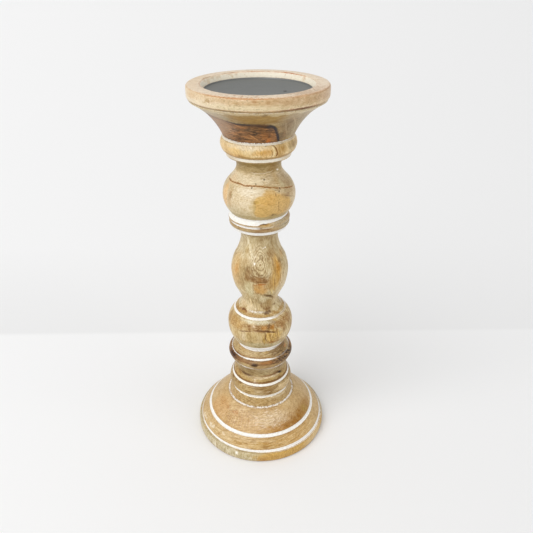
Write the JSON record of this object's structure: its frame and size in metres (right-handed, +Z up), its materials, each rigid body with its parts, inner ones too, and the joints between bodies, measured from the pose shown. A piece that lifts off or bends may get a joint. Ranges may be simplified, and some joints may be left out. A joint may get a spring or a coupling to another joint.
{
  "type": "candle holder",
  "caption": "Turned wooden pillar candle holder: a conical foot, stacked rings, balls and a vase-shaped section, and a wide cup with a flat steel pan.",
  "frame": {"origin": "centre of the foot on the surface that the holder stands on", "axes": "+Z up along the turned axis; +X to the right and -Y towards the viewer in the picture"},
  "size_m": [0.1436, 0.1436, 0.381],
  "materials": {
    "base_wood": "satin varnish over whitewashed light wood",
    "collar_wood": "satin varnish, olive-brown grain",
    "ring_wood": "satin varnish, dark heartwood grain",
    "lower_ball_wood": "satin varnish, golden grain",
    "vase_wood": "satin varnish, swirled knot grain",
    "upper_ring_wood": "satin varnish over worn white paint",
    "upper_ball_wood": "satin varnish, pale and golden grain",
    "bead_wood": "satin varnish, straw-coloured grain",
    "cup_wood": "satin varnish, olive-gold wood with a dark heartwood patch",
    "rim_wood": "satin varnish over whitewashed pale wood",
    "pan_steel": "satin dark grey sheet",
    "pin_steel": "dull dark steel",
    "zinc_steel": "zinc-plated threaded hardware",
    "felt": "dark green felt"
  },
  "bodies": {
    "root": {"base": "base_wood", "collar": "collar_wood", "dark_ring": "ring_wood", "lower_ball": "lower_ball_wood", "vase_section": "vase_wood", "upper_ring": "upper_ring_wood", "upper_ball": "upper_ball_wood", "neck_bead": "bead_wood", "cup": "cup_wood", "rim_ring": "rim_wood", "pan": "pan_steel", "panel_pin": "pin_steel", "tie_rod": "zinc_steel", "lower_washer": "zinc_steel", "lower_nut": "zinc_steel", "upper_washer": "zinc_steel", "upper_nut": "zinc_steel", "felt_disc": "felt"}
  },
  "joints": []
}
